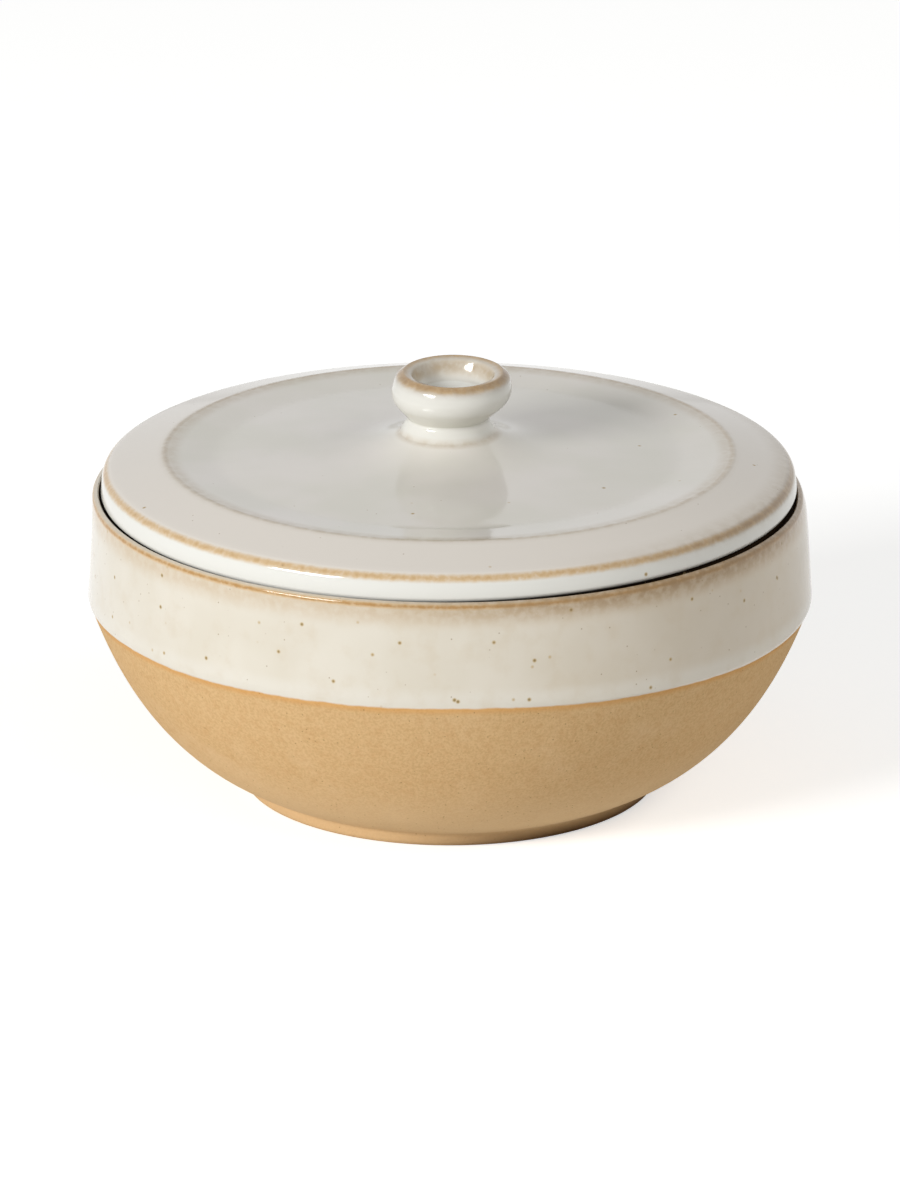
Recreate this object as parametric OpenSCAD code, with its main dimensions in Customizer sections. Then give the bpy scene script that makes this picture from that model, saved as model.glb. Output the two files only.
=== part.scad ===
// Lidded stoneware casserole: a deep round dish on a foot ring, with a gallery inside its lip,
// and a lid with a raised ring and a hollow cup knob that rests loose in the gallery.
// Origin: centre of the foot ring's underside. +Z is up, millimetres.

/* [Dish] */
// Outside diameter at the shoulder, the widest place
dish_d = 250; // [220:1:280]
// Height of the lip above the table
dish_h = 105; // [96:0.1:125]
// Height of the shoulder above the table
shoulder_h = 67.8; // [58:0.1:78]
// Inward lean of the glazed band above the shoulder, in degrees
band_lean = 3.4; // [1:0.1:6]
// Outward lean of the belly just below the shoulder, in degrees
flank_lean = 19.4; // [14:0.1:24]
// Rise of the belly where it leaves the foot ring, in degrees
base_rise = 22; // [16:0.5:28]
// Rounding of the shoulder
shoulder_round = 4; // [1:0.5:6]
// Thickness of the wall
wall = 7; // [5:0.1:9]
// Thickness of the floor
floor_t = 7; // [5:0.1:10]
// Diameter of the flat floor inside
floor_d = 96; // [80:1:110]

/* [Foot ring] */
// Outside diameter of the foot ring
foot_d = 144.2; // [128:0.1:160]
// Height of the foot ring's outer wall
foot_h = 4.9; // [3.5:0.1:8]
// Width of the face that stands on the table
foot_w = 7; // [5:0.1:12]
// Depth of the hollow inside the foot ring
foot_recess = 3.5; // [2:0.1:3.8]
// Rounding of the foot ring's edges
foot_round = 0.8; // [0.3:0.1:1.2]

/* [Gallery] */
// Thickness of the lip outside the lid
lip_t = 2.2; // [2.1:0.1:4]
// Rounding of the lip's outer edge
lip_round = 1.5; // [0.8:0.1:1.6]
// Rounding of the lip's inner edge
lip_inner_round = 0.6; // [0.3:0.1:0.7]
// Depth of the ledge below the lip
seat_depth = 5; // [3.5:0.1:7]
// Width of the ledge that carries the lid
ledge_w = 5.6; // [4.5:0.1:8]
// Height of the ledge's inner edge
ledge_t = 4; // [3:0.1:6]
// Play between the lid's rim and the lip, all round
lid_gap = 0.6; // [0.4:0.1:1.2]

/* [Glaze] */
// Height of the glaze's lower edge above the shoulder
glaze_edge_up = 0.7; // [0.5:0.1:12]
// Thickness of the glaze on the band
glaze_t = 0.35; // [0.2:0.05:0.6]

/* [Lid] */
// Height of the lid's outer edge above its seat
edge_h = 13.1; // [11:0.1:18]
// Inward lean of the lid's outer wall, in degrees
edge_lean = 3.8; // [2:0.1:10]
// Rounding of the lid's outer edge
edge_round = 4.8; // [1:0.1:6]
// Width of the sloping margin, from the outer edge to the raised ring
margin_w = 21; // [14:0.1:26]
// Rise of the margin from the outer edge to the raised ring
margin_rise = 5.6; // [3:0.1:7]
// Height of the raised ring above the low ground inside it
ring_h = 1.6; // [0.8:0.1:2.4]
// Width of the raised ring's inner slope
ring_w = 16.2; // [10:0.1:22]
// Rounding of the raised ring's crest
ring_round = 3; // [1:0.1:4]
// Rise of the lid from its low ground to the foot of the knob
crown_rise = 8.6; // [6:0.1:11]
// Thickness of the lid
lid_t = 6.5; // [5:0.1:8]
// Thickness of the lid's turned-down rim
skirt_w = 6.4; // [5.6:0.1:9]

/* [Knob] */
// Diameter over the belly of the knob
knob_d = 41.2; // [36:0.1:48]
// Height of the knob above the lid around it
knob_h = 21.4; // [19:0.1:25]
// Height of the knob's widest place above the lid around it
knob_belly_h = 12.8; // [11.5:0.1:14]
// Diameter of the knob's neck
neck_d = 28.4; // [24:0.1:31]
// Height of the neck, from the lid to the underside of the belly
neck_h = 5.4; // [4.6:0.1:7]
// Diameter of the collar at the foot of the neck
collar_d = 33; // [30:0.1:38]
// Height of the collar's edge
collar_h = 1.3; // [1:0.1:2]
// Diameter of the crest around the cup in the knob
cup_rim_d = 34.2; // [31:0.1:35]
// Thickness of the cup's wall at its rim
cup_wall = 1.8; // [1.4:0.1:2.4]
// Depth of the cup
cup_depth = 7; // [4:0.1:9]

/* [Hidden] */
$fn = 180;
glaze_color = "#E2DDD0";
clay_color = "#C8A177";

// Dish: radii and heights that follow from the sizes above
shoulder_r = dish_d / 2;
foot_r = foot_d / 2;
rim_r = shoulder_r - (dish_h - shoulder_h) * tan(band_lean);
lip_in_r = rim_r - lip_t;
seat_z = dish_h - seat_depth;
ledge_in_r = lip_in_r - ledge_w;
floor_z = foot_recess + floor_t;
floor_r = floor_d / 2;
glaze_z = shoulder_h + glaze_edge_up;
inner_shoulder = [shoulder_r - wall * cos(flank_lean), shoulder_h + wall * sin(flank_lean)];

// Dish: slope and roundings inside the foot ring, and of the ledge and the wall below it
foot_draft = 30;
recess_round = 2;
seat_round = 0.6;
ledge_round = 1;
ledge_slope_h = 7;
ledge_slope_round = 3;
inner_round = 6;
neck_in_z = seat_z - ledge_t - ledge_slope_h;
neck_in_r = shoulder_r - wall - (neck_in_z - shoulder_h) * tan(band_lean);

// Dish: how full the belly's curves are at their two ends, as shares of their chords
outer_fullness = [0.42, 0.26];
inner_fullness = [0.5, 0.255];

// Dish: the clay takes up this share of the wall from outside, the glazed part this share from
// inside, so the two run into each other
clay_share = 0.6;
glazed_share = 0.6;
clay_tongue_h = 3;
glaze_edge_round = 0.2;

// Lid: radii and heights, worked from the seat upwards
lid_r = lip_in_r - lid_gap;
edge_z = seat_z + edge_h;
edge_r = lid_r - edge_h * tan(edge_lean);
ring_r = edge_r - margin_w;
ring_z = edge_z + margin_rise;
low_r = ring_r - ring_w;
low_z = ring_z - ring_h;
collar_r = collar_d / 2;
crown_z = low_z + crown_rise;
crown_overlap = 1;
crown_in_r = collar_r - crown_overlap;
skirt_in_r = lid_r - skirt_w;
skirt_draft = 1;
skirt_round = 1.2;
skirt_root_round = 3;
ring_under_round = 6;

// Knob: its outline's corners stand a little outside the rounded form that comes of them
knob_top = crown_z + knob_h;
knob_r = knob_d / 2;
neck_r = neck_d / 2;
cup_rim_r = cup_rim_d / 2;
cup_r = cup_rim_r - cup_wall;
cup_floor_r = cup_r * 0.8;
collar_round = 0.9;
neck_round = 3;
neck_bend_h = 1.2;
throat_round = 0.5;
belly_corner = 0.8;
belly_round = 7;
brow_inset = 1.2;
brow_h = 2.2;
brow_round = 2.4;
cup_rim_round = 0.8;
cup_rim_slope = 0.7;
cup_floor_dish = 0.4;
cup_floor_round = 4;

// Number of steps in the belly, the crown and the raised ring
belly_steps = 22;
crown_steps = 12;
ring_steps = 6;

// Height of the lid's upper surface inside the raised ring: two shallow parabolas that meet
// level at the low ground
function lid_top(r) = r > low_r
    ? low_z + ring_h * pow((r - low_r) / ring_w, 2)
    : low_z + crown_rise * pow((low_r - r) / (low_r - collar_r), 2);

// Point at share t along a cubic curve
function curve_point(a, b, c, d, t) =
    pow(1 - t, 3) * a + 3 * pow(1 - t, 2) * t * b + 3 * (1 - t) * t * t * c + pow(t, 3) * d;

// Curve from a to d that leaves a rising by rise degrees, arrives at d leaning outward by lean
// degrees, and is as full at its two ends as fullness says
function swell(a, d, rise, lean, fullness) =
    let (chord = norm(d - a))
    let (b = a + fullness[0] * chord * [cos(rise), sin(rise)])
    let (c = d - fullness[1] * chord * [sin(lean), cos(lean)])
    [for (i = [0 : belly_steps]) curve_point(a, b, c, d, i / belly_steps)];

function unit(v) = v / norm(v);

// Outline with its corners rounded: each point is [x, y] for a sharp corner, or [x, y, radius]
function rounded(points, step = 12) = [
    for (i = [0 : len(points) - 1])
        let (n = len(points))
        let (p = [points[i][0], points[i][1]])
        let (before = points[(i + n - 1) % n])
        let (after = points[(i + 1) % n])
        let (u = unit([before[0], before[1]] - p))
        let (v = unit([after[0], after[1]] - p))
        let (radius = len(points[i]) > 2 ? points[i][2] : 0)
        let (half = acos(max(-1, min(1, u * v))) / 2)
        each (radius <= 0 || half > 89.5)
            ? [p]
            : let (centre = p + unit(u + v) * radius / sin(half))
              let (side = u[0] * v[1] - u[1] * v[0] > 0 ? -1 : 1)
              let (start = p + u * radius / tan(half) - centre)
              let (turn = 180 - 2 * half)
              let (count = max(2, ceil(turn / step)))
              [for (k = [0 : count])
                  let (a = side * turn * k / count)
                  centre + [start[0] * cos(a) - start[1] * sin(a), start[0] * sin(a) + start[1] * cos(a)]]
];

// Curve inside the wall, at share s of the way from its outer face to its inner face
function in_wall(s) =
    [for (i = [0 : belly_steps]) belly_outer[i] + (belly_inner[i] - belly_outer[i]) * s];

// The points of a list in the other order, without the first few of them
function reversed(list, first = 0) = [for (i = [len(list) - 1 : -1 : first]) list[i]];

// Outer and inner faces of the belly, from the foot ring and the floor up to the shoulder
belly_outer = swell([foot_r, foot_h], [shoulder_r - glaze_t, shoulder_h],
    base_rise, flank_lean, outer_fullness);
belly_inner = swell([floor_r, floor_z], inner_shoulder, 0, flank_lean, inner_fullness);

// The bare clay: foot ring and belly, up to the glaze, with the outer part of the wall and floor
clay_section = rounded(concat(
    [
        [0, foot_recess],
        [foot_r - foot_w - foot_recess * tan(foot_draft), foot_recess, recess_round],
        [foot_r - foot_w, 0, foot_round],
        [foot_r, 0, foot_round]
    ],
    [for (i = [0 : belly_steps - 1]) belly_outer[i]],
    [
        [shoulder_r - glaze_t, shoulder_h, shoulder_round],
        [shoulder_r - glaze_t - (glaze_edge_up + clay_tongue_h) * tan(band_lean), glaze_z + clay_tongue_h],
        [inner_shoulder[0] + wall * (1 - clay_share), glaze_z + clay_tongue_h]
    ],
    reversed(in_wall(clay_share)),
    [[0, foot_recess + floor_t * clay_share]]
));

// The glazed part: band, lip, gallery, inner wall and floor
glazed_section = rounded(concat(
    [[0, floor_z - floor_t * glazed_share]],
    in_wall(1 - glazed_share),
    [
        [inner_shoulder[0] + wall * glazed_share, glaze_z],
        [shoulder_r - glaze_edge_up * tan(band_lean), glaze_z, glaze_edge_round],
        [rim_r, dish_h, lip_round],
        [lip_in_r, dish_h, lip_inner_round],
        [lip_in_r, seat_z, seat_round],
        [ledge_in_r, seat_z, ledge_round],
        [ledge_in_r, seat_z - ledge_t, ledge_slope_round],
        [neck_in_r, neck_in_z, inner_round],
        [inner_shoulder[0], inner_shoulder[1], inner_round]
    ],
    [for (i = [belly_steps - 1 : -1 : 0]) belly_inner[i]],
    [[0, floor_z]]
));

// One thrown and fired dish, glazed inside, over the lip and down to the shoulder
module dish() {
    color(clay_color)
        rotate_extrude()
            polygon(clay_section);
    color(glaze_color)
        rotate_extrude()
            polygon(glazed_section);
}

// Upper and lower faces of the lid inside the raised ring; the crown runs on a little under the
// knob's collar
lid_crown = [for (i = [0 : crown_steps])
    let (r = crown_in_r + (low_r - crown_in_r) * i / crown_steps) [r, lid_top(r)]];
lid_ring = [for (i = [1 : ring_steps - 1])
    let (r = low_r + ring_w * i / ring_steps) [r, lid_top(r)]];
lid_under = [for (point = reversed(lid_crown)) [point[0], point[1] - lid_t]];

// The lid's plate: turned-down rim, sloping margin, raised ring and dished crown
plate_section = rounded(concat(
    [[0, lid_top(crown_in_r)]],
    lid_crown,
    lid_ring,
    [
        [ring_r, ring_z, ring_round],
        [edge_r, edge_z, edge_round],
        [lid_r, seat_z, skirt_round],
        [skirt_in_r, seat_z, skirt_round],
        [skirt_in_r - skirt_draft, edge_z - lid_t, skirt_root_round],
        [ring_r, ring_z - lid_t, ring_under_round]
    ],
    lid_under,
    [[0, lid_top(crown_in_r) - lid_t]]
));

// The knob: collar, neck, swelling belly and a rim around a shallow cup
knob_section = rounded([
    [0, crown_z - lid_t / 2],
    [collar_r, crown_z - lid_t / 2],
    [collar_r, crown_z + collar_h, collar_round],
    [neck_r, crown_z + neck_h - neck_bend_h, neck_round],
    [neck_r, crown_z + neck_h, throat_round],
    [knob_r + belly_corner, crown_z + knob_belly_h, belly_round],
    [knob_r - brow_inset, knob_top - brow_h, brow_round],
    [cup_rim_r, knob_top, cup_rim_round],
    [cup_r, knob_top - cup_rim_slope, cup_rim_round],
    [cup_floor_r, knob_top - cup_depth + cup_floor_dish, cup_floor_round],
    [0, knob_top - cup_depth]
]);

// One fired lid with its knob, glazed all over but for the seat
module lid() {
    color(glaze_color) {
        rotate_extrude()
            polygon(plate_section);
        rotate_extrude()
            polygon(knob_section);
    }
}

dish();
lid();
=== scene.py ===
import math

import bpy
import numpy as np
from mathutils import Matrix, Vector
from mathutils.geometry import interpolate_bezier


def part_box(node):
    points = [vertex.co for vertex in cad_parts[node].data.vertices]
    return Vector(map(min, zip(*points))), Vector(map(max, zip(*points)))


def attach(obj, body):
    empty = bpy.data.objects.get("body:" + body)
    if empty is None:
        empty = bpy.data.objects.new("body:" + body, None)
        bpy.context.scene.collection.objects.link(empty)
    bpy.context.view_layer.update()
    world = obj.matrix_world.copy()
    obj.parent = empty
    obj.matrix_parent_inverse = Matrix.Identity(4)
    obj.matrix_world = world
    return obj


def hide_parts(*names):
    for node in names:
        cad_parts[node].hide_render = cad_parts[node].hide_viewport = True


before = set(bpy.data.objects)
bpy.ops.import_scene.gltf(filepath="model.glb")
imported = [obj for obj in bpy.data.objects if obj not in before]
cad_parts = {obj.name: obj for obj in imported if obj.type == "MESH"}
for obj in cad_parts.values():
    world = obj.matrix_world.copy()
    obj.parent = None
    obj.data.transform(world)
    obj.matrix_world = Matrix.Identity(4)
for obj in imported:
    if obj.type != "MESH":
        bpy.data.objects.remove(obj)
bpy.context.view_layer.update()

mm = 0.001

# The dish
# One bowl of buff stoneware, thrown and turned with its foot ring and the gallery inside its lip.
# It was dipped upside down in cream glaze to its shoulder and fired; belly and foot stay bare.
dish_low, dish_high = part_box("dish")
shoulder_r = dish_high.x / mm
shoulder_z = 67.8
lip_z = dish_high.z / mm
band_lean = math.tan(math.radians(3.4))
flank_lean = math.radians(19.4)
foot_r = 72.1
foot_h = 4.9
foot_w = 7
foot_recess = 3.5
belly_rise = math.radians(22)
floor_r = 48
floor_z = 10.5
wall = 7
lip_t = 2.2
ledge_w = 5.6
ledge_t = 4
seat_depth = 5
neck_drop = 7
glaze_t = 0.35
glaze_roll = 0.12
lip_r = shoulder_r - (lip_z - shoulder_z) * band_lean
lip_in_r = lip_r - lip_t
ledge_r = lip_in_r - ledge_w
seat_z = lip_z - seat_depth
ledge_z = seat_z - ledge_t
neck_z = ledge_z - neck_drop
neck_r = shoulder_r - wall - (neck_z - shoulder_z) * band_lean


def rounded(corners, bend=9):
    """Outline through corners of (radius, height) or (radius, height, rounding), all in mm."""
    outline = []
    for i, corner in enumerate(corners):
        here = Vector(corner[:2])
        if len(corner) == 2:
            outline.append(here)
            continue
        before = (Vector(corners[i - 1][:2]) - here).normalized()
        after = (Vector(corners[i + 1][:2]) - here).normalized()
        half = before.angle(after) / 2
        centre = here + (before + after).normalized() * corner[2] / math.sin(half)
        start = here + before * corner[2] / math.tan(half) - centre
        turn = (math.pi - 2 * half) * (-1 if before.cross(after) > 0 else 1)
        steps = max(2, math.ceil(abs(math.degrees(turn)) / bend))
        outline += [centre + Matrix.Rotation(turn * k / steps, 2) @ start for k in range(steps + 1)]
    return outline


def swell(start, end, rise, fullness, steps):
    """The belly's cubic curve: it leaves start at rise and arrives at end with the flank's lean."""
    start, end = Vector(start), Vector(end)
    chord = (end - start).length
    low = start + fullness[0] * chord * Vector((math.cos(rise), math.sin(rise)))
    high = end - fullness[1] * chord * Vector((math.sin(flank_lean), math.cos(flank_lean)))
    return [tuple(p)[:2] for p in interpolate_bezier(start, low, high, end, steps)]


def with_rows(outline, spacing, fine=0.4, fine_zone=(0, 0)):
    """The outline in steps up to spacing long, or up to fine between fine_zone's two heights."""
    filled = [outline[0]]
    for point in outline[1:]:
        last = filled[-1]
        middle = (last + point) / 2
        in_zone = fine_zone[0] < middle.y < fine_zone[1] and middle.x > shoulder_r - wall / 2
        count = math.ceil((point - last).length / (fine if in_zone else spacing))
        filled += [last.lerp(point, k / count) for k in range(1, count + 1)]
    return filled


def throw(name, outline, turns=320):
    """Draws the outline as a chain of edges from one vertex and spins it round the wheel's axis."""
    bpy.ops.object.select_all(action="DESELECT")
    bpy.ops.mesh.primitive_plane_add(size=mm)
    piece = bpy.context.object
    piece.name = piece.data.name = name
    bpy.ops.object.mode_set(mode="EDIT")
    bpy.ops.mesh.merge(type="CENTER")
    at = Vector((0, 0, 0))
    for step, (r, z) in enumerate(outline):
        to = Vector((0, r, z)) * mm
        if step == 0:
            bpy.ops.transform.translate(value=to)
        else:
            bpy.ops.mesh.extrude_vertices_move(TRANSFORM_OT_translate={"value": to - at})
        at = to
    bpy.ops.mesh.select_all(action="SELECT")
    bpy.ops.mesh.spin(steps=turns, angle=math.tau, center=(0, 0, 0), axis=(0, 0, 1))
    bpy.ops.mesh.select_all(action="SELECT")
    bpy.ops.mesh.remove_doubles(threshold=0.001 * mm)
    bpy.ops.mesh.normals_make_consistent(inside=False)
    bpy.ops.object.mode_set(mode="OBJECT")
    bpy.ops.object.shade_smooth()
    return piece


belly = swell((foot_r, foot_h), (shoulder_r - glaze_t, shoulder_z), belly_rise, (0.42, 0.26), 40)
inner_shoulder = (shoulder_r - wall * math.cos(flank_lean),
                  shoulder_z + wall * math.sin(flank_lean))
inside = swell((floor_r, floor_z), inner_shoulder, 0, (0.5, 0.255), 30)
dish_outline = rounded([
    (0, foot_recess),
    (foot_r - foot_w - 2, foot_recess, 2),
    (foot_r - foot_w, 0, 0.8),
    (foot_r, 0, 2),
    (foot_r, foot_h, 2),
    *belly[1:-1],
    (shoulder_r - glaze_t, shoulder_z, 4),
    (lip_r - glaze_t, lip_z, 1.5),
    (lip_in_r, lip_z, 0.6),
    (lip_in_r, seat_z, 0.6),
    (ledge_r, seat_z, 1),
    (ledge_r, ledge_z, 3),
    (neck_r, neck_z, 6),
    (*inner_shoulder, 6),
    *reversed(inside[:-1]),
    (0, floor_z),
])
dish = throw("stoneware_dish", with_rows(dish_outline, 2.6, 0.4, (62, 76)))


def vertices_of(piece):
    """The places of the piece's vertices, a row of x, y and z for each."""
    co = np.empty(len(piece.data.vertices) * 3)
    piece.data.vertices.foreach_get("co", co)
    return co.reshape(-1, 3)


def place(piece):
    """Each vertex's radius and height in mm, and its angle from the front towards +X."""
    x, y, z = vertices_of(piece).T / mm
    return np.hypot(x, y), z, np.arctan2(x, -y)


def smooth(value, low, high):
    """0 below low, 1 above high and a soft step between."""
    t = np.clip((value - low) / (high - low), 0, 1)
    return t * t * (3 - 2 * t)


def put_back(piece, co):
    """Moves the piece's vertices to these places."""
    piece.data.vertices.foreach_set("co", co.ravel())
    piece.data.update()


def note(piece, name, values):
    """Keeps one number for each vertex, for the piece's material to read."""
    attribute = piece.data.attributes.new(name, "FLOAT", "POINT")
    attribute.data.foreach_set("value", np.asarray(values, np.float32))


# The glaze ends in an edge that wanders round the pot and hangs lower at its sides, and it is
# thicker just above that edge, where it ran and stopped. The gallery was wiped clean of it.
radius, height, angle = place(dish)
note(dish, "thrown_r", radius)
note(dish, "thrown_z", height)
mean_edge_z = 68.5
far_inside = 60
far_outside = -200
glaze_edge = (mean_edge_z - 2 * np.sin(angle) ** 2 - 0.9 * np.sin(angle)
              + 0.2 * np.sin(5 * angle + 1.3) + 0.12 * np.sin(11 * angle + 0.4))
above_edge = height - glaze_edge
belly_r, belly_z = np.array(belly).T
is_inside = (height > floor_z - 3) & (radius < np.interp(height, belly_z, belly_r) - wall / 2)
above_edge[is_inside] = far_inside
# The gallery is set far outside the glaze: it stays bare, and the clay there gets painted shade,
# near black.
is_gallery = (radius < lip_in_r + 0.2) & (radius > ledge_r - 1) & (
    height > ledge_z - 1) & (height < lip_z - 0.4)
above_edge[is_gallery] = far_outside
note(dish, "above_edge", above_edge)
coat = glaze_t * smooth(above_edge, -0.3, 0.7) + glaze_roll * smooth(above_edge, 0, 1.5) * (
    1 - smooth(above_edge, 2.5, 7))
coat *= ~is_inside & (radius > lip_in_r + 1) & (height < lip_z - 0.2)

# The lip was pressed in and down a little at the right and back, and leans to the left by a hair.
pressed_in = 0.8
pressed_down = 1.2
lip_off = 0.35
is_lip = radius > lip_in_r - 0.3
pressed = smooth(angle, 1.15, 1.5) * (1 - smooth(angle, 2.6, 3.1)) * is_lip
inward = pressed_in * pressed * smooth(height, lip_z - 8, lip_z - 0.5)
stretch = 1 + (coat - inward) / np.maximum(radius, 1)
co = vertices_of(dish)
co[:, :2] *= stretch[:, None]
co[:, 0] -= lip_off * mm * smooth(height, lip_z - 20, lip_z) * is_lip
co[:, 2] -= pressed_down * mm * pressed * smooth(height, lip_z - 4.5, lip_z - 0.5)
put_back(dish, co)


def plain(hex_colour):
    """An sRGB hex colour as linear numbers."""
    parts = [int(hex_colour[i:i + 2], 16) / 255 for i in (1, 3, 5)]
    return [c / 12.92 if c <= 0.04045 else ((c + 0.055) / 1.055) ** 2.4 for c in parts] + [1]


def add_node(tree, kind, inputs, **settings):
    """Adds a node with its settings, and fills its inputs with values or other nodes' outputs."""
    node = tree.nodes.new(kind)
    for name, value in settings.items():
        setattr(node, name, value)
    for name, value in inputs.items():
        if isinstance(value, bpy.types.NodeSocket):
            tree.links.new(value, node.inputs[name])
        else:
            node.inputs[name].default_value = value
    return node


def share_of(tree, *parts):
    """Its parts multiplied. A part is a number, a node's output, or a soft step, given as
    (value, low, high, share at low, share at high)."""
    share = 1
    for part in parts:
        if isinstance(part, tuple):
            value, low, high, at_low, at_high = part
            part = add_node(tree, "ShaderNodeMapRange", {
                "Value": value, "From Min": low, "From Max": high, "To Min": at_low,
                "To Max": at_high}, interpolation_type="SMOOTHSTEP").outputs["Result"]
        share = add_node(tree, "ShaderNodeMath", {0: share, 1: part},
                         operation="MULTIPLY").outputs[0]
    return share


def layered(tree, colour, layers):
    """The colour with layers over it, each a tint followed by the parts of its share."""
    for tint, *parts in layers:
        colour = add_node(tree, "ShaderNodeMix", {
            "Factor": share_of(tree, *parts), 6: colour, 7: plain(tint),
        }, data_type="RGBA").outputs[2]
    return colour


def specks(tree, point, spacing, grain, share):
    """Grains of iron, grain mm in radius, in this share of the cells of spacing mm."""
    cells = add_node(tree, "ShaderNodeTexVoronoi", {
        "Vector": point, "Scale": 1 / (spacing * mm), "Randomness": 1})
    size = grain / spacing
    lot = add_node(tree, "ShaderNodeSeparateColor", {"Color": cells.outputs["Color"]})
    kept = add_node(tree, "ShaderNodeMath", {0: lot.outputs["Red"], 1: share},
                    operation="LESS_THAN")
    return share_of(tree, (cells.outputs["Distance"], 0.35 * size, size, 1, 0), kept.outputs[0])


def wear_and_shade_at(tree, rings):
    """A share, 0 to 1, near rings (r, z, reach, strength): thin glaze at edges and painted shade.
    """
    thrown = {}
    for axis, name in (("X", "thrown_r"), ("Y", "thrown_z")):
        thrown[axis] = add_node(tree, "ShaderNodeAttribute", {}, attribute_name=name).outputs["Fac"]
    here = add_node(tree, "ShaderNodeCombineXYZ", thrown).outputs["Vector"]
    thin = 0
    for r, z, reach, strength in rings:
        off = add_node(tree, "ShaderNodeVectorMath", {0: here, 1: (r, z, 0)}, operation="DISTANCE")
        near = share_of(tree, (off.outputs["Value"], 0, reach, strength, 0))
        thin = add_node(tree, "ShaderNodeMath", {0: thin, 1: near}, operation="MAXIMUM").outputs[0]
    return thin


def cream_glaze(tree, point, body, thin, speckling):
    """Cream glaze: warmer where thin, rust brown where an edge shows through, specked with iron."""
    patch = add_node(tree, "ShaderNodeTexNoise", {
        "Vector": point, "Scale": 1 / (1.8 * mm), "Detail": 4, "Roughness": 0.55}).outputs["Fac"]
    uneven = add_node(tree, "ShaderNodeMath", {0: patch, 1: 1.1, 2: 0.45},
                      operation="MULTIPLY_ADD").outputs[0]
    broken = share_of(tree, thin, uneven)
    return layered(tree, body, [
        ("#D3B891", (broken, 0.05, 0.6, 0, 1)),
        ("#B0813F", (broken, 0.45, 1.0, 0, 0.85)),
        ("#C2A878", specks(tree, point, 6.5, 1.0, 0.7 * speckling)),
        ("#77683F", specks(tree, point, 6.5, 0.6, 0.7 * speckling), 0.8),
        ("#9C8566", specks(tree, point, 3.1, 0.36, 0.45 * speckling), 0.7),
    ])


# Glazed stoneware: glass over clay, smooth but for a faint peel, with painted shade that makes it
# warmer and browner at the right, and brown at the lip. Bare stoneware: matt and sandy, with fine
# iron grains, a little orange where it meets the glaze, paler towards the foot as painted light,
# darker on the foot ring with painted shade at its right, and near black in the gallery as painted
# shade.
stoneware = bpy.data.materials.new("half_glazed_stoneware")
stoneware.use_nodes = True
tree = stoneware.node_tree
tree.nodes.clear()
point = add_node(tree, "ShaderNodeTexCoord", {}).outputs["Object"]
side = add_node(tree, "ShaderNodeSeparateXYZ", {"Vector": point}).outputs["X"]
thrown_z, to_edge = [
    add_node(tree, "ShaderNodeAttribute", {}, attribute_name=name).outputs["Fac"]
    for name in ("thrown_z", "above_edge")]
patch = {}
for name, size, detail in [
        ("cloud", 26, 2), ("ragged", 5, 3), ("broken", 3, 3), ("smudge", 8, 5), ("peel", 9, 2),
        ("grain", 0.9, 4), ("pale clay", 22, 2), ("red clay", 3, 4), ("sand", 0.7, 3)]:
    patch[name] = add_node(tree, "ShaderNodeTexNoise", {
        "Vector": point, "Scale": 1 / (size * mm), "Detail": detail, "Roughness": 0.55,
    }).outputs["Fac"]
ragged = add_node(tree, "ShaderNodeMath", {0: patch["ragged"], 1: 0.9, 2: to_edge},
                  operation="MULTIPLY_ADD").outputs[0]
ragged = add_node(tree, "ShaderNodeMath", {0: ragged, 1: -0.45}, operation="ADD").outputs[0]
glazed = share_of(tree, (ragged, -0.4, 0.5, 0, 1))
broken = share_of(tree, (patch["broken"], 0.3, 0.65, 0.6, 1))

# The glaze's body, warmer at the right as painted shade, whiter where it ran down to its edge,
# then its wear, and painted shade on the lip at the right.
milk = layered(tree, plain("#DAD3C4"), [
    ("#DFD9CC", (patch["cloud"], 0.3, 0.7, 0, 1)),
    # Painted shade: warmer and darker towards the right side.
    ("#C4AE90", (side, -0.03, 0.12, 0, 1), 0.4),
    ("#E2DED4", (ragged, 3.5, 8, 0.55, 0)),
    ("#C2A274", wear_and_shade_at(tree, [(lip_r + 0.5, lip_z - 3, 7.5, 0.5)]), broken),
    ("#CBB99B", (patch["smudge"], 0.45, 0.8, 0, 0.25)),
])
lip_wear = wear_and_shade_at(tree, [(lip_r - 0.2, lip_z - 1.1, 1.7, 0.9)])
# Painted shade: the lip's brown deepens on the right side.
lip_shade = wear_and_shade_at(tree, [(lip_r, lip_z, 9, 1)])
glaze = layered(tree, cream_glaze(tree, point, milk, lip_wear, 0.7), [
    ("#98794F", lip_shade, (side, -0.06, 0.08, 0, 1), broken),
])

# The clay's grain and patches, painted light that makes its foot end paler, the orange by the
# glaze, iron grains, painted shade in the gallery, and the foot ring, darker, with painted shade
# on its right side.
clay = layered(tree, plain("#DCB988"), [
    ("#C29A67", (patch["grain"], 0.38, 0.68, 0, 0.5)),
    ("#E6C79B", (patch["pale clay"], 0.45, 0.8, 0, 0.35)),
    ("#C79360", (patch["red clay"], 0.42, 0.75, 0, 0.25)),
    # Painted light: paler towards the foot, where the floor throws light back.
    ("#EBD0A6", (thrown_z, 8, 40, 0.55, 0)),
    ("#D59A52", (ragged, -3.2, -0.2, 0, 0.6)),
    ("#96713F", specks(tree, point, 2.4, 0.36, 0.5), 0.7),
    # Painted shade, near black, in the gallery.
    ("#3B2C1E", (ragged, 0.75 * far_outside, 0.45 * far_outside, 1, 0)),
    ("#B98F60", (thrown_z, foot_h - 1, foot_h + 1, 0.35, 0)),
    # Painted shade on the foot ring's right side.
    ("#5E4226", (thrown_z, 0.5, foot_h + 0.5, 1, 0), (side, -0.03, 0.04, 0, 1)),
])
coloured = add_node(tree, "ShaderNodeMix", {"Factor": glazed, 6: clay, 7: glaze}, data_type="RGBA")
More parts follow.
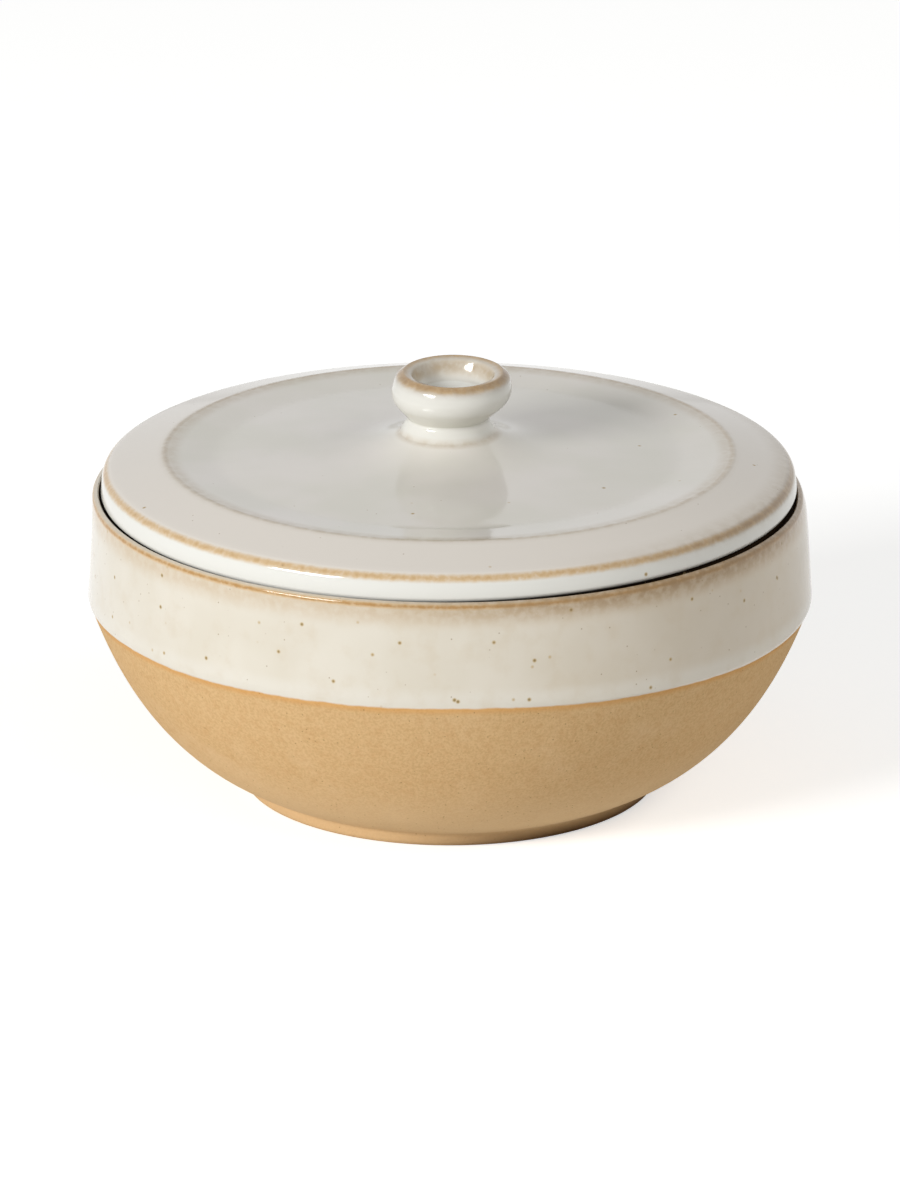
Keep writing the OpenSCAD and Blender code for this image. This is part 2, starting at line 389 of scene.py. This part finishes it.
relief = add_node(tree, "ShaderNodeMix", {
    "Factor": glazed, "A": share_of(tree, patch["sand"], 0.09),
    "B": share_of(tree, patch["peel"], 0.03)})
bump = add_node(tree, "ShaderNodeBump", {
    "Height": relief.outputs[0], "Distance": mm, "Strength": 1})
surface = add_node(tree, "ShaderNodeBsdfPrincipled", {
    "Base Color": coloured.outputs[2],
    "Roughness": share_of(tree, (glazed, 0, 1, 0.8, 0.1)),
    "Specular IOR Level": share_of(tree, (glazed, 0, 1, 0.1, 0.5)),
    "IOR": 1.5,
    "Normal": bump.outputs["Normal"],
})
add_node(tree, "ShaderNodeOutputMaterial", {"Surface": surface.outputs["BSDF"]})
dish.data.materials.append(stoneware)
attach(dish, "root")
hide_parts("dish")

# The lid
# One thrown lid of the same clay with its knob luted on, glazed all over but for the seat. It has a
# turned-down rim, a sloping margin, a raised ring, a dished crown and a knob with a shallow cup.
lid_low, lid_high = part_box("lid")
rim_r = lid_high.x / mm
rim_z = lid_low.z / mm
edge_h = 13.1
edge_lean = math.tan(math.radians(3.8))
margin_w = 21
margin_rise = 5.6
knob_h = 21.4
cup_depth = 7
edge_z = rim_z + edge_h
edge_r = rim_r - edge_h * edge_lean
ring_r = edge_r - margin_w
ring_z = edge_z + margin_rise
low_r = ring_r - 18.1
low_z = ring_z - 1.8
crown_z = ring_z + 7
knob_top = crown_z + knob_h
collar_r = 16.5
neck_in_r = 14.2
knob_r = 20.6
cup_rim_r = 17.1
cup_r = 14.3
lid_t = 6.5
tread_r = rim_r - 2.6
skirt_r = rim_r - 6.4
cove_r = 45
cove_h = 4.5


def crown(r):
    """Height of the lid inside its raised ring: a cove at the collar, a gentle fall, a climb."""
    cove = cove_h * max(0, (cove_r - r) / (cove_r - collar_r)) ** 3
    fall = low_z + 0.068 * (low_r - r) + cove
    climb = low_z + 0.1 * (r - low_r)
    return (fall + climb) / 2 + math.hypot((fall - climb) / 2, 0.12)


crown_radii = np.linspace(collar_r, ring_r, 42)[1:-1]
lid_outline = rounded([
    (0, knob_top - cup_depth),
    (cup_r - 2.3, knob_top - 6.8, 3),
    (cup_r, knob_top - 0.8, 1.2),
    (cup_rim_r, knob_top, 1),
    (knob_r - 1, knob_top - 1.9, 2.4),
    (knob_r + 0.8, crown_z + 12.8, 7),
    (neck_in_r, crown_z + 5.4, 0.5),
    (neck_in_r, crown_z + 4.2, 2.4),
    (collar_r - 1.1, crown_z + 1.9, 2),
    (collar_r, crown_z, 1),
    *[(r, crown(r)) for r in crown_radii],
    (ring_r, ring_z, 3),
    (edge_r, edge_z, 4.8),
    (rim_r, rim_z + 4.6, 1.8),
    (tread_r, rim_z + 3, 1),
    (tread_r, rim_z, 0.8),
    (skirt_r, rim_z, 1.2),
    (skirt_r - 1, edge_z - lid_t, 3),
    (ring_r, ring_z - lid_t, 6),
    *[(r, crown(r) - lid_t) for r in reversed(crown_radii)],
    (collar_r, crown_z - lid_t),
    (0, crown_z - lid_t),
])
lid = throw("stoneware_lid", with_rows(lid_outline, 2.3))
radius, height, angle = place(lid)
note(lid, "thrown_r", radius)
note(lid, "thrown_z", height)

# The knob was luted on by hand: its foot sits a little to the left, and its cup leans to the right
# and nods to the front.
knob_foot_off = -0.4
knob_lean = 1.9
knob_nod = math.tan(math.radians(2))
co = vertices_of(lid)
knob_off = knob_foot_off * smooth(height, crown_z - 1, crown_z + 0.5) + knob_lean * smooth(
    height, crown_z + 1, knob_top)
is_knob = (radius < knob_r + 1) & (height > crown_z - 1)
is_wall = (radius > skirt_r + 1) & (height < edge_z)
co[:, 0] += mm * knob_off * is_knob
co[:, 2] += knob_nod * co[:, 1] * smooth(height, crown_z + 4, knob_top - cup_depth) * is_knob

# Its wall was trimmed higher at the right, and it lies a little to the left and back in its play.
trimmed_up = 1.2
lid_off = mm * np.array([-0.42, 0.2, 0])
trim = trimmed_up * smooth(np.sin(angle), -0.4, 0.8) * smooth(height, rim_z + 1, rim_z + 3.5)
co[:, 2] += mm * trim * (1 - smooth(height, rim_z + 5, edge_z - 2)) * is_wall
co += lid_off
put_back(lid, co)

# Cream glaze on stoneware: smooth and glossy, a greyer white on the flat top as painted shade,
# whiter on the wall and the knob, brown along each edge, and with painted shade at the right. The
# rim's lower end gets painted shade, near black, in the crevice under it.
glazed_lid = bpy.data.materials.new("cream_glazed_stoneware")
glazed_lid.use_nodes = True
tree = glazed_lid.node_tree
tree.nodes.clear()
point = add_node(tree, "ShaderNodeTexCoord", {}).outputs["Object"]
side = add_node(tree, "ShaderNodeSeparateXYZ", {"Vector": point}).outputs["X"]
out, thrown_z = [
    add_node(tree, "ShaderNodeAttribute", {}, attribute_name=name).outputs["Fac"]
    for name in ("thrown_r", "thrown_z")]
patch = {}
for name, size, detail in [("cloud", 38, 2), ("broken", 3.5, 3), ("peel", 9, 2)]:
    patch[name] = add_node(tree, "ShaderNodeTexNoise", {
        "Vector": point, "Scale": 1 / (size * mm), "Detail": detail, "Roughness": 0.55,
    }).outputs["Fac"]
# Painted shade: the flat top, crown and margin, gets a greyer white than the wall.
top_shade = share_of(tree, (out, collar_r - 0.5, collar_r + 2, 0, 1),
                 (out, edge_r - 2.4, edge_r - 0.6, 1, 0))
on_knob = share_of(tree, (thrown_z, crown_z + 0.6, crown_z + 1.6, 0, 1))
broken = share_of(tree, (patch["broken"], 0.3, 0.65, 0.6, 1))
# Painted shade on the lid's right side, away from the window.
shaded_right = share_of(tree, (side, 0.02, 0.12, 0, 1))
top_shade_milk = layered(tree, plain("#E0DED5"), [
    ("#E8E4DF", (patch["cloud"], 0.3, 0.7, 0, 1)),
    ("#E7E1D9", (out, ring_r - 1, ring_r + 2, 0, 1)),
])
milk = add_node(tree, "ShaderNodeMix", {"Factor": top_shade, 6: plain("#E4E4DF"), 7: top_shade_milk},
                data_type="RGBA").outputs[2]
# Thin glaze on the ring's crest, and painted shade on the ring's inner slope, at the collar's foot
# and in the cup.
soft_wear_and_shade = wear_and_shade_at(tree, [
    (ring_r - 0.6, ring_z - 0.2, 2.4, 0.85),
    (ring_r - 2, ring_z - 0.3, 5, 0.5),
    (collar_r + 0.3, crown_z, 2.6, 0.6),
    (cup_r - 1.6, knob_top - 2.6, 5, 1),
])

# The knob, with painted light on its cup's floor and painted shade under its bowl; the soft wear
# with painted shade on the ring's inner slope, at the collar's foot and in the cup; painted shade
# on the margin's right side; and painted shade, near black, on the rim's lower end.
milk = layered(tree, milk, [
    ("#E0DFD9", on_knob),
    # Painted light on the cup's floor.
    ("#F7FBFA", on_knob, (out, cup_r - 6, cup_r - 3, 1, 0)),
    ("#CBC9BC", (thrown_z, crown_z + 6, crown_z + 14, 0.6, 0),
     (thrown_z, crown_z + 4.6, crown_z + 5.6, 0, 1)),
    ("#BBA98F", broken, soft_wear_and_shade),
    # Painted shade along the margin's right side.
    ("#B3A287", wear_and_shade_at(tree, [(edge_r - 2.5, edge_z + 0.2, 8, 0.5)]), shaded_right, broken),
    # Painted shade, near black, on the rim's lower end in the crevice.
    ("#3B2C1E", (thrown_z, rim_z + 3, rim_z + 4.4, 1, 0)),
])
edge_wear = wear_and_shade_at(tree, [
    (edge_r - 0.8, edge_z - 0.7, 2.7, 0.62),
    (cup_rim_r + 0.4, knob_top - 0.9, 3.8, 0.72),
])
rim_stain = wear_and_shade_at(tree, [(cup_rim_r + 0.8, knob_top - 0.9, 4.2, 0.6)])
# Painted shade darkening the edge's brown line at the right.
edge_shade = wear_and_shade_at(tree, [(edge_r - 0.8, edge_z - 0.7, 3, 0.75)])
glaze = layered(tree, cream_glaze(tree, point, milk, edge_wear, 0.12), [
    ("#8C7253", rim_stain, broken),
    ("#8C7253", edge_shade, shaded_right, broken),
])
bump = add_node(tree, "ShaderNodeBump", {
    "Height": share_of(tree, patch["peel"], 0.03), "Distance": mm, "Strength": 1})
surface = add_node(tree, "ShaderNodeBsdfPrincipled", {
    "Base Color": glaze,
    "Roughness": 0.08,
    "IOR": 1.5,
    "Normal": bump.outputs["Normal"],
})
add_node(tree, "ShaderNodeOutputMaterial", {"Surface": surface.outputs["BSDF"]})
lid.data.materials.append(glazed_lid)
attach(lid, "root")
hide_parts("lid")

# The table and the light
# The pot stands on matt white paper, lit by one soft window ahead of it on the left and by the
# pale room all round. The camera and the glaze's reflections see paper and room as plain white.
bpy.ops.object.select_all(action="DESELECT")
bpy.ops.mesh.primitive_plane_add(size=9, location=(0, 1.5, 0))
table = bpy.context.object
table.name = "white_table"


def seen_in(tree):
    """1 where the camera or a reflection looks, 0 where light only falls on the pot."""
    ray = add_node(tree, "ShaderNodeLightPath", {}).outputs
    return add_node(tree, "ShaderNodeMath", {0: ray["Is Camera Ray"], 1: ray["Is Glossy Ray"]},
                    operation="MAXIMUM").outputs[0]


paper = bpy.data.materials.new("matt_white_paper")
paper.use_nodes = True
tree = paper.node_tree
tree.nodes.clear()
sheet = add_node(tree, "ShaderNodeBsdfDiffuse", {"Color": plain("#F0F2F4")})
lift = add_node(tree, "ShaderNodeEmission", {
    "Color": plain("#FFFFFF"), "Strength": share_of(tree, seen_in(tree), 0.56)})
both = add_node(tree, "ShaderNodeAddShader", {
    0: sheet.outputs["BSDF"], 1: lift.outputs["Emission"]})
add_node(tree, "ShaderNodeOutputMaterial", {"Surface": both.outputs["Shader"]})
table.data.materials.append(paper)

window_bearing = math.radians(48)
window_rise = math.radians(21.5)
window_away = 4.0
window_at = window_away * Vector((
    -math.sin(window_bearing) * math.cos(window_rise),
    -math.cos(window_bearing) * math.cos(window_rise),
    math.sin(window_rise)))
pot_middle = Vector((0, 0, 0.07))
bpy.ops.object.light_add(type="AREA", location=window_at + pot_middle)
window = bpy.context.object
window.name = "window"
window.rotation_euler = window_at.to_track_quat("Z", "Y").to_euler()
window.data.shape = "RECTANGLE"
window.data.size = 1.6
window.data.size_y = 0.7
window.data.energy = 122
window.data.color = (1, 0.995, 0.98)

# A pale wall on the right sends some of the light back, too broad and weak to show in the glaze.
wall_bearing = math.radians(62)
wall_rise = math.radians(38)
wall_away = 3.2
wall_at = wall_away * Vector((
    math.sin(wall_bearing) * math.cos(wall_rise),
    -math.cos(wall_bearing) * math.cos(wall_rise),
    math.sin(wall_rise)))
bpy.ops.object.light_add(type="AREA", location=wall_at + pot_middle)
pale_wall = bpy.context.object
pale_wall.name = "pale_wall"
pale_wall.rotation_euler = wall_at.to_track_quat("Z", "Y").to_euler()
pale_wall.data.shape = "RECTANGLE"
pale_wall.data.size = 4
pale_wall.data.size_y = 1.4
pale_wall.data.energy = 32
pale_wall.data.color = (1, 0.985, 0.95)
pale_wall.visible_glossy = False

room = bpy.data.worlds.new("pale_room")
bpy.context.scene.world = room
room.use_nodes = True
tree = room.node_tree
tree.nodes.clear()
walls = add_node(tree, "ShaderNodeBackground", {"Color": plain("#FFFBF5"), "Strength": 0.21})
white = add_node(tree, "ShaderNodeBackground", {"Color": plain("#FFFFFF"), "Strength": 1})
both = add_node(tree, "ShaderNodeMixShader", {
    "Fac": seen_in(tree), 1: walls.outputs["Background"], 2: white.outputs["Background"]})
add_node(tree, "ShaderNodeOutputWorld", {"Surface": both.outputs["Shader"]})

# The camera
# It stands 3 m off and looks down on the pot's front by about 20 degrees, through a long lens.
camera_away = 3.0
camera_rise = math.radians(20.2)
camera_at = camera_away * Vector((0, -math.cos(camera_rise), math.sin(camera_rise)))
aim = Vector((0, 0, 0.0641))
bpy.ops.object.camera_add(location=camera_at)
camera = bpy.context.object
camera.rotation_euler = (camera_at - aim).to_track_quat("Z", "Y").to_euler()
camera.data.lens = 258.3
camera.data.sensor_width = 36
bpy.context.scene.camera = camera
bpy.context.scene.view_settings.view_transform = "Standard"
